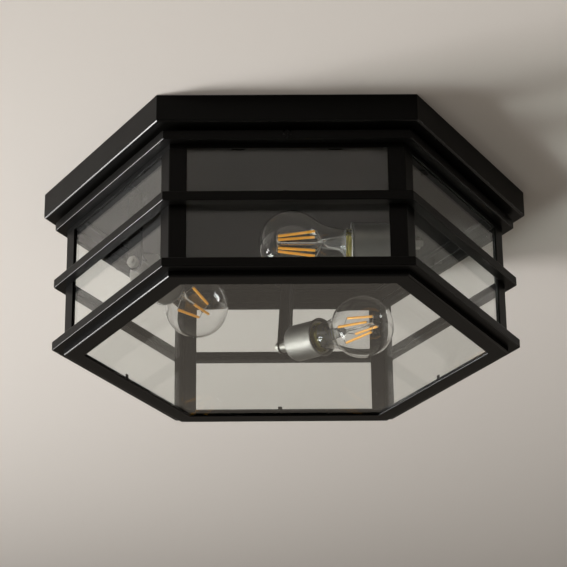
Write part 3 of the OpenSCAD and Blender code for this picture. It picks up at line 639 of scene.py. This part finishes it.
for k, lamp in enumerate(lamp_places, 1):
    droop = math.radians(DROOPS[k - 1])
    bend_up = (strap_rise - STRAP_BEND * (1 + math.sin(droop))) / math.cos(droop)
    reach = STRAP_FOOT - STRAP_BEND
    foot = Vector((-STRAP_BEND - reach * math.cos(droop), bend_up - reach * math.sin(droop)))
    rising = Vector((-math.sin(droop), math.cos(droop)))
    tip_up = 90 + math.degrees(droop)
    outline = (
        [(0, 0)]
        + arc(-STRAP_BEND, bend_up, STRAP_BEND, 0, tip_up, steps=8)
        + [tuple(foot + STRAP_BEND * rising), tuple(foot + (STRAP_BEND - STRAP_SHEET) * rising)]
        + arc(-STRAP_BEND, bend_up, STRAP_BEND - STRAP_SHEET, tip_up, 0, steps=8)
        + [(-STRAP_SHEET, 0)]
    )
    half = STRAP_WIDTH / 2
    shell = bmesh.new()
    extrude(shell, [(x, -half, z) for x, z in outline], (0, STRAP_WIDTH, 0))
    soften(shell, 0.25)
    low_end = [(0, 0), (0, half - STRAP_ARRIS), (-STRAP_ARRIS, half)]
    turn(shell, low_end + [(-STRAP_SHEET - x, r) for x, r in reversed(low_end)])
    shell.transform(lamp)
    coated(shell, f"hanging_strap_{k}", "canopy", f"lamp_strap_{k}")

    shell = bmesh.new()
    turn(shell, [(0, SCREW_R), (0, SPACER_R), (SPACER, SPACER_R), (SPACER, SCREW_R)])
    soften(shell, 0.4)
    shell.transform(lamp)
    piece(shell, f"spacer_tube_{k}", "canopy", "zinc_steel", zinc, "holder_spacers")

    corner_x, corner_r = SPACER + CUP_CORNER, CUP_R - CUP_CORNER
    shell = bmesh.new()
    turn(
        shell,
        [(SPACER, SCREW_R)]
        + arc(corner_x, corner_r, CUP_CORNER, 180, 90, steps=9)
        + arc(MOUTH, MOUTH_R, MOUTH_ROLL, 180, -20, steps=10)
        + [(HOLDER - 0.5, CUP_R - CUP_WALL)]
        + arc(corner_x, corner_r, CUP_CORNER - CUP_WALL, 90, 180, steps=9)
        + [(SPACER + CUP_WALL, SCREW_R)],
    )
    shell.transform(lamp)
    piece(shell, f"drawn_cup_{k}", "canopy", "cup_grey", holder_grey, f"holder_cup_{k}", crease=50)

    well = SHELL_R + SHELL_WALL + SHELL_CLEARANCE
    recess = CORE_FLOOR - SCREW_HEAD - HEAD_ROOM
    shell = bmesh.new()
    turn(
        shell,
        [(SPACER + CUP_WALL, SCREW_R), (SPACER + CUP_WALL, CORE_BOSS_R)]
        + [(CORE_BACK, CORE_BOSS_R), (CORE_BACK, CORE_R - CORE_CHAMFER)]
        + [(CORE_BACK + CORE_CHAMFER, CORE_R), (CORE_FRONT, CORE_R), (CORE_FRONT, well)]
        + [(CORE_FLOOR, well), (CORE_FLOOR, SCREW_HEAD_R + HEAD_ROOM)]
        + [(recess, SCREW_HEAD_R + HEAD_ROOM), (recess, SCREW_R)],
    )
    soften(shell, 0.5)
    shell.transform(lamp)
    piece(shell, f"ceramic_core_{k}", "canopy", "ceramic", ceramic, f"holder_core_{k}")

    outside = SHELL_R + SHELL_WALL
    rolled = ridges(CORE_FRONT, CORE_FLOOR + SHELL_PLAIN, outside, CAP_PITCH, depth=0.5)
    shell = bmesh.new()
    turn(
        shell,
        [(CORE_FLOOR, SHELL_R - SHELL_FLANGE), (CORE_FLOOR, outside)]
        + rolled[::-1]
        + [(CORE_FRONT + SHELL_LIP, outside), (CORE_FRONT + SHELL_LIP, SHELL_R)]
        + [(x, r - SHELL_WALL) for x, r in rolled]
        + [(CORE_FLOOR + SHELL_WALL, SHELL_R), (CORE_FLOOR + SHELL_WALL, SHELL_R - SHELL_FLANGE)],
    )
    shell.transform(lamp)
    piece(shell, f"screw_shell_{k}", "canopy", "brass", brass, "holder_shells", crease=60)

    tongue = [
        (CORE_FLOOR, -TONGUE_FOOT),
        (CORE_FLOOR + TONGUE_SHEET, -TONGUE_FOOT),
        (CORE_FLOOR + TONGUE_SHEET, -TONGUE_RISE),
        (CONTACT_FRONT, -TONGUE_SHEET),
        (CONTACT_FRONT, TONGUE_RISE),
        (CONTACT_FRONT - TONGUE_SHEET, TONGUE_RISE),
        (CONTACT_FRONT - TONGUE_SHEET, -TONGUE_KNEES[0]),
        (CORE_FLOOR, -TONGUE_KNEES[1]),
    ]
    shell = bmesh.new()
    extrude(shell, [(x, -TONGUE_WIDTH / 2, z) for x, z in tongue], (0, TONGUE_WIDTH, 0))
    soften(shell, 0.12)
    shell.transform(lamp)
    piece(shell, f"contact_tongue_{k}", "canopy", "brass", brass, "holder_contacts")

    nut_back = -STRAP_SHEET - NUT
    screw_end, head_front = nut_back - THREAD_SHOW, recess + SCREW_HEAD
    shell = bmesh.new()
    turn(
        shell,
        [(screw_end, 0)]
        + ridges(screw_end, nut_back + 0.5, SCREW_R, THREAD_PITCH, THREAD_DEPTH)
        + [(nut_back + 0.6, SCREW_R), (recess, SCREW_R), (recess, SCREW_HEAD_R - 0.5)]
        + arc(head_front - HEAD_ROUND, SCREW_HEAD_R - HEAD_ROUND, HEAD_ROUND, 90, 0, steps=4)
        + [(head_front, 0)],
        steps=32,
    )
    shell.transform(lamp)
    piece(shell, f"fixing_screw_{k}", "canopy", "zinc_steel", zinc, "holder_screws", crease=50)

    shell = bmesh.new()
    drilled(shell, sides=6, radius=NUT_FLATS / ROOT_3, bore=SCREW_R, depth=NUT)
    soften(shell, 0.45)
    bmesh.ops.rotate(shell, verts=shell.verts, matrix=Matrix.Rotation(math.pi / 2, 3, "Y"))
    bmesh.ops.translate(shell, verts=shell.verts, vec=((-STRAP_SHEET - NUT / 2) * MM, 0, 0))
    shell.transform(lamp)
    piece(shell, f"lock_nut_{k}", "canopy", "zinc_steel", zinc, "holder_nuts")

shell = packed("strap_rivets")
soften(shell, 0.4, segments=3, least=20)
coated(shell, "round_head_rivets", "canopy", "strap_rivets")


# Bulbs. Clear blown globes, each with a brass screw cap, a pressed glass mount and four amber
# filaments that lean in toward the tip. They screw into the lampholders and are unlit.

# Blown soda glass: thin and clear, with slight waves that bend what is behind the neck.
bulb_glass = clear_glass(
    "blown_bulb_glass", "#ffffff", bend=1.45, haze=0.02, wave=0.05, wave_size=25
)
BULB_R = 30
BULB_WALL = 0.7
NECK_R, NECK_CURVE = 13.2, 45
CAP_R, CAP_BACK, CAP_FRONT = 13, 31, 58
BULB_LENGTH = 105
GLOBE_X = CAP_BACK + BULB_LENGTH - BULB_R

# Lead glass, pressed and fire-finished: a little milky beside the envelope.
mount_glass = mottled(
    "pressed_lead_glass",
    3,
    ("#e9ecea", "#fbfcfb"),
    (0.02, 0.12),
    {"Transmission Weight": 0.94, "IOR": 1.56},
)

# Black glass, cast round the cap's centre contact: smooth and deep.
black_glass = mottled("cast_black_glass", 3.3, ("#121116", "#16151a"), (0.08, 0.2), {"IOR": 1.52})

# Silicone loaded with yellow phosphor: an opaque amber with a faint painted glow, given as emission
# though the bulbs are unlit.
amber = mottled(
    "phosphor_silicone",
    1.4,
    ("#d68a16", "#f8bd48"),
    (0.38, 0.46),
    # painted glow: the filaments are unlit, and this emission only brightens their amber
    {"Emission Color": colour("#f0a62c"), "Emission Strength": 0.32},
)


def envelope(inset):
    """The bulb's outline from its tip to its cap, drawn in by a wall."""
    curve_r = NECK_R + NECK_CURVE
    back = math.sqrt((BULB_R + NECK_CURVE) ** 2 - curve_r**2)
    meet = math.degrees(math.atan2(curve_r, -back))
    globe = arc(GLOBE_X, 0, BULB_R - inset, 0, meet, steps=30)
    neck = arc(GLOBE_X - back, curve_r, NECK_CURVE + inset, meet - 180, -90, steps=14)
    return [(globe[0][0], 0)] + globe[1:] + neck[1:] + [(CAP_FRONT, NECK_R - inset)]


def rod(shell, start, end, radius, steps=12):
    """A round wire or rod between two points in millimetres."""
    run = Vector(end) - Vector(start)
    made = bmesh.ops.create_cone(
        shell,
        cap_ends=True,
        segments=steps,
        radius1=radius * MM,
        radius2=radius * MM,
        depth=run.length * MM,
    )["verts"]
    lie = Vector((0, 0, 1)).rotation_difference(run).to_matrix().to_4x4()
    middle = Matrix.Translation((Vector(start) + Vector(end)) / 2 * MM)
    bmesh.ops.transform(shell, matrix=middle @ lie, verts=made)


LED_R, LED_BASE_R, LED_TIP_R = 1.25, 12.4, 7.7
LED_BASE, LED_TIP = GLOBE_X - 20.2, GLOBE_X + 12.3
LED_TURNS = (37, 40, 0)  # how far each bulb's filaments stand turned about its axis
PIN_R, PIN_LENGTH, PIN_JOINT = 0.5, 1.6, 1.4  # the support wires meet the pins near their ends
SUPPORT_R = 0.35
SOLDER, INSULATOR = 1.6, 3  # how far each stands out behind the cap
PRESS = GLOBE_X - 24  # where the flare of the glass mount is pressed flat round its wires
TUBE, BEAD_R = 12, 2.2  # where the mount's flare becomes a tube, and the bead at its tip
HAIR = 0.05  # the mount is solid here: a hair's radius keeps its outline off the axis

# Parts of outlines, each a row of (distance from the place it is measured from, radius). The cap is
# rolled in over the black glass at one end and crimped on the neck at the other.
CAP_ROLLED_END = ((0, 11.6), (-0.6, 11.2), (-0.6, 10.8), (0.6, 10.8), (1.6, 11.7))
CAP_CRIMPED_END = ((-2.6, 11.8), (0, NECK_R - 0.5), (0, NECK_R), (-1.6, NECK_R))
SOLDER_DOME = ((0, 0), (0.1, 1.4), (0.4, 2.8), (1.1, 4.2))
MOUNT_FLARE_INSIDE = ((6, 5.4), (2.5, 8.6))
MOUNT_FLARE_OUTSIDE = ((3, 9.4), (6, 6.4), (TUBE, 5.2))
MOUNT_PRESSED = ((-6, 4.8), (0, 3.2), (3, 1.3))
for k, lamp in enumerate(lamp_places, 1):
    body = f"bulb_{k}"
    shell = bmesh.new()
    turn(shell, envelope(0) + envelope(BULB_WALL)[::-1], steps=72)
    shell.transform(lamp)
    piece(shell, f"globe_{k}", body, "clear_glass", bulb_glass, f"bulb_glass_{k}", crease=60)

    insulator = CAP_BACK + SOLDER
    skirt = insulator + INSULATOR
    rolled = ridges(CAP_FRONT - 2.4, skirt + 2, CAP_R, CAP_PITCH, depth=0.6)
    shell = bmesh.new()
    turn(
        shell,
        [(skirt + x, radius) for x, radius in CAP_ROLLED_END]
        + [(CAP_FRONT + x, radius) for x, radius in CAP_CRIMPED_END]
        + rolled
        + [(skirt + 1.4, CAP_R - 0.7)],
    )
    shell.transform(lamp)
    piece(shell, f"screw_cap_{k}", body, "brass", brass, f"bulb_cap_{k}", crease=60)

    glass_r = CAP_R - 2.4
    shell = bmesh.new()
    turn(
        shell,
        [(insulator, 0), (insulator, 4.8), (skirt - 0.4, glass_r), (skirt + 0.6, glass_r)]
        + [(skirt + 0.6, 0)],
    )
    soften(shell, 0.3)
    shell.transform(lamp)
    piece(shell, f"cap_insulator_{k}", body, "lead_black", black_glass)

    shell = bmesh.new()
    dome = [(CAP_BACK + x, radius) for x, radius in SOLDER_DOME]
    turn(shell, dome + [(insulator, 4.4), (insulator, 0)])
    shell.transform(lamp)
    piece(shell, f"solder_tip_{k}", body, "zinc_steel", zinc, crease=60)

    post_tip = LED_TIP + 1.5
    flare_r = NECK_R - BULB_WALL - 0.2
    shell = bmesh.new()
    turn(
        shell,
        [(CAP_FRONT + x, radius) for x, radius in MOUNT_FLARE_INSIDE]
        + [(CAP_FRONT + 0.2, flare_r - 0.8), (CAP_FRONT + 0.2, flare_r), (CAP_FRONT + 0.8, flare_r)]
        + [(CAP_FRONT + x, radius) for x, radius in MOUNT_FLARE_OUTSIDE]
        + [(PRESS + x, radius) for x, radius in MOUNT_PRESSED]
        + arc(post_tip - 2, 0, BEAD_R, 143, 8, steps=7)
        + [(post_tip + 0.2, HAIR), (PRESS - 4, HAIR), (PRESS - 7, 3.6), (CAP_FRONT + TUBE, 4.2)],
        steps=32,
    )
    shell.transform(lamp)
    piece(shell, f"glass_mount_{k}", body, "clear_glass", mount_glass, f"bulb_stem_{k}", crease=60)

    wires, rods, ends = bmesh.new(), bmesh.new(), bmesh.new()
    for quarter in range(4):
        swing = Matrix.Rotation(math.radians(LED_TURNS[k - 1] + 90 * quarter), 3, "X")
        base = swing @ Vector((LED_BASE, 0, LED_BASE_R))
        tip = swing @ Vector((LED_TIP, 0, LED_TIP_R))
        press_edge = swing @ Vector((PRESS - 2, 0, 2.6))
        bead_edge = swing @ Vector((post_tip - 1.2, 0, 1.5))
        lean = (tip - base).normalized()
        rod(rods, base, tip, LED_R)
        rod(ends, base - PIN_LENGTH * lean, base, PIN_R, steps=8)
        rod(ends, tip, tip + PIN_LENGTH * lean, PIN_R, steps=8)
        rod(wires, press_edge, base - PIN_JOINT * lean, SUPPORT_R, steps=8)
        rod(wires, bead_edge, tip + PIN_JOINT * lean, SUPPORT_R, steps=8)
    soften(rods, 0.45, segments=3, least=25)
    for part in (wires, rods, ends):
        part.transform(lamp)
    piece(rods, f"filaments_{k}", body, "filament_amber", amber, f"bulb_filaments_{k}", crease=60)
    piece(wires, f"support_wires_{k}", body, "zinc_steel", zinc, crease=60)
    piece(ends, f"filament_pins_{k}", body, "zinc_steel", zinc, crease=60)


# Side screws and cap nuts. Three round-head screws through the top band carry the cage on the
# collar, and two domed nuts carry the canopy on its studs. All are powder-coated to match.
for side in ("front", "back_right", "back_left"):
    shell = packed("side_screw_" + side)
    soften(shell, 0.25, segments=3, least=24)
    coated(shell, "round_head_screw_" + side, "side_screw_" + side, "side_screw_" + side)

shell = packed("cap_nuts")
soften(shell, 0.25)
coated(shell, "domed_nuts", "canopy", "cap_nuts")


# Mounting parts, hidden by the canopy. A slotted zinc-plated bar screws to the ceiling box, and its
# two studs pass through the canopy. A green screw takes the earth wire.
shell = packed("mounting_crossbar")
soften(shell, 0.3)
piece(shell, "slotted_bar", "canopy", "zinc_steel", zinc, "mounting_crossbar")

STUD_R, STUD_PITCH, STUD_THREAD = 2, 0.7, 0.3
low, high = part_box("canopy_studs")
start, end = low.z / MM, high.z / MM
for name, y in (("front", low.y + STUD_R * MM), ("back", high.y - STUD_R * MM)):
    shell = bmesh.new()
    thread = ridges(start, end, STUD_R, STUD_PITCH, STUD_THREAD)
    turn(shell, [(start, 0)] + thread + [(end, 0)], steps=20)
    bmesh.ops.rotate(shell, verts=shell.verts, matrix=Matrix.Rotation(-math.pi / 2, 3, "Y"))
    bmesh.ops.translate(shell, verts=shell.verts, vec=(0, y, 0))
    piece(shell, "threaded_stud_" + name, "canopy", "zinc_steel", zinc, "canopy_studs", crease=60)

# Green dye over zinc: a coloured metal, deeper in some places than in others.
green_zinc = mottled("green_dyed_zinc", 2.5, ("#2c6b3c", "#4b8c57"), (0.3, 0.45), {"Metallic": 1})
shell = packed("ground_screw")
soften(shell, 0.25)
piece(shell, "earth_screw", "canopy", "green_steel", green_zinc, "ground_screw")


# Wiring, hidden in the canopy. Two black leads rise from each lampholder through a rubber grommet
# and meet the supply in two ribbed twist-on connectors.

# Soft black PVC: smooth and dull, with a little grey dust on it.
lead_pvc = mottled("black_pvc_insulation", 6, ("#131313", "#222121"), (0.4, 0.52))
shell = packed("lead_wires")
leads = piece(shell, "pvc_leads", "canopy", "lead_black", lead_pvc, "lead_wires", crease=180)
rounded = leads.modifiers.new("rounded", "SUBSURF")
rounded.levels = rounded.render_levels = 1

# Moulded rubber: matt, with a faint grey bloom.
rubber = mottled("moulded_black_rubber", 3, ("#161616", "#272625"), (0.62, 0.78))
shell = packed("wire_grommets")
soften(shell, 0.3, segments=3)
piece(shell, "rubber_grommets", "canopy", "grommet_rubber", rubber, "wire_grommets")

# Moulded polypropylene: a flat orange with a low sheen, slightly clouded as the melt flowed.
orange = mottled("moulded_orange_polypropylene", 9, ("#cf6a1e", "#de7c2c"), (0.38, 0.5))
CONNECTOR_R, CONNECTOR_LENGTH, CONNECTOR_RIBS, RIB = 6.5, 22, 12, 0.5
CONNECTOR_SKIRT, CONNECTOR_MOUTH_R, CONNECTOR_DEPTH = 0.8, 3.8, 7
CONNECTOR_GRIP = (1, 16.1)  # the ribs run between these distances from the closed end
RIB_SPAN = (0.2, 0.8)  # the part of each rib's share of the turn that stands proud
CLOSED_END = ((0, 3.2), (0.5, 2.5), (1.5, 2.1))  # distance and how far inside the radius
OPEN_END = ((6, 0.3), (5.6, -0.5), (0.6, -CONNECTOR_SKIRT), (0, -0.3))  # the same, from the mouth
low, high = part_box("wire_connectors")
height = (low.z + high.z) / 2
inset = (CONNECTOR_R + CONNECTOR_SKIRT) * MM
inner_end = CONNECTOR_LENGTH - CONNECTOR_DEPTH
for name, x in (("left", low.x + inset), ("right", high.x - inset)):
    shell = bmesh.new()
    turn(
        shell,
        [(0, 0)]
        + [(along, CONNECTOR_R - inside) for along, inside in CLOSED_END]
        + [(CONNECTOR_LENGTH - along, CONNECTOR_R - inside) for along, inside in OPEN_END]
        + [(CONNECTOR_LENGTH, CONNECTOR_MOUTH_R), (inner_end, CONNECTOR_MOUTH_R), (inner_end, 0)],
        steps=4 * CONNECTOR_RIBS,
    )
    for vert in shell.verts:
        around = math.atan2(vert.co.z, vert.co.y) / math.tau * CONNECTOR_RIBS % 1
        on_grip = CONNECTOR_GRIP[0] * MM < vert.co.x < CONNECTOR_GRIP[1] * MM
        if on_grip and RIB_SPAN[0] < around < RIB_SPAN[1]:
            out = Vector((0, vert.co.y, vert.co.z))
            vert.co += out.normalized() * RIB * MM
    soften(shell, 0.15, least=25)
    bmesh.ops.rotate(shell, verts=shell.verts, matrix=Matrix.Rotation(math.pi / 2, 3, "Z"))
    bmesh.ops.translate(shell, verts=shell.verts, vec=(x, low.y, height))
    name = "twist_on_connector_" + name
    piece(shell, name, "canopy", "connector_orange", orange, "wire_connectors")


# Light. One wide soft window at the far left, below the ceiling, with a brighter sash that sparkles
# in the bulbs, daylight that rises off the porch floor, and the pale room around.
def soft_light(name, size, watts, at, target, tint, spread=180):
    """A rectangular lamp out of the camera's sight, aimed from one point at another, in metres."""
    lamp = bpy.data.lights.new(name, "AREA")
    lamp.shape = "RECTANGLE"
    lamp.size, lamp.size_y = size
    lamp.energy = watts
    lamp.color = colour(tint)[:3]
    lamp.spread = math.radians(spread)
    made = bpy.data.objects.new(name, lamp)
    aim = Vector(target) - Vector(at)
    made.matrix_world = Matrix.Translation(at) @ aim.to_track_quat("-Z", "Y").to_matrix().to_4x4()
    made.visible_camera = False
    bpy.context.scene.collection.objects.link(made)
    return made


CAGE_MIDDLE = (0, 0, -0.05)
DAYLIGHT = "#fffefd"
WINDOW_SPREAD = 80  # the reveal narrows the light, so the ceiling darkens toward the right
window = soft_light(
    "window",
    size=(2.0, 1.4),
    watts=13,
    at=(-2.6, 0.6, -1.1),
    target=CAGE_MIDDLE,
    tint=DAYLIGHT,
    spread=WINDOW_SPREAD,
)
window.visible_transmission = False  # seen through the bulbs it would hide their filaments
soft_light(
    "open_sash",
    size=(0.8, 1.1),
    watts=16,
    at=(-2.5, 0.58, -1.05),
    target=CAGE_MIDDLE,
    tint=DAYLIGHT,
    spread=WINDOW_SPREAD,
)
floor_bounce = soft_light(
    "floor_bounce",
    size=(2.4, 2.4),
    watts=13.5,
    at=(-0.6, -1.2, -1.8),
    target=(-0.4, -0.8, 0),
    tint="#fff6ec",
)
floor_bounce.visible_glossy = False  # it stands for a whole dim floor, not for a bright panel
floor_bounce.visible_transmission = False

# The room is dim on the near side, brighter beyond the lantern, and pale overhead.
NEAR, FAR = (-0.4, 0.02), (0.9, 0.26)  # how far along +Y a direction points, and how bright it is
OVERHEAD = 0.8
MIRRORED = 0.08  # how much of the backdrop shows in a glossy surface
world = bpy.data.worlds.new("room")
world.use_nodes = True
tree = world.node_tree
tree.nodes.clear()
direction = add(tree, "ShaderNodeTexCoord").outputs["Generated"]
way = add(tree, "ShaderNodeSeparateXYZ", {"Vector": direction}).outputs
depth = add(
    tree,
    "ShaderNodeMapRange",
    {
        "Value": way["Y"],
        "From Min": NEAR[0],
        "From Max": FAR[0],
        "To Min": NEAR[1],
        "To Max": FAR[1],
    },
)
above = add(tree, "ShaderNodeMath", {0: way["Z"], 1: 0}, operation="GREATER_THAN")
glow = add(
    tree,
    "ShaderNodeMix",
    {"Factor": above.outputs[0], 2: depth.outputs["Result"], 3: OVERHEAD},
)
room = add(tree, "ShaderNodeBackground", {"Color": colour("#e8d9c6"), "Strength": glow.outputs[0]})
backdrop = add(tree, "ShaderNodeBackground", {"Color": colour("#dad5d0"), "Strength": 1})

# The pale backdrop shows directly and straight through glass. Glossy surfaces mirror it faintly,
# since at full strength it would turn the black coat grey.
path = add(tree, "ShaderNodeLightPath").outputs
straight = add(tree, "ShaderNodeMath", {0: path["Glossy Depth"], 1: 0.5}, operation="LESS_THAN")
direct = add(
    tree,
    "ShaderNodeMath",
    {0: path["Is Transmission Ray"], 1: straight.outputs[0], 2: path["Is Camera Ray"]},
    operation="MULTIPLY_ADD",
)
seen = add(
    tree,
    "ShaderNodeMath",
    {0: path["Is Glossy Ray"], 1: MIRRORED, 2: direct.outputs[0]},
    operation="MULTIPLY_ADD",
)
both = add(
    tree,
    "ShaderNodeMixShader",
    {"Fac": seen.outputs[0], 1: room.outputs[0], 2: backdrop.outputs[0]},
)
add(tree, "ShaderNodeOutputWorld", {"Surface": both.outputs[0]})
bpy.context.scene.world = world
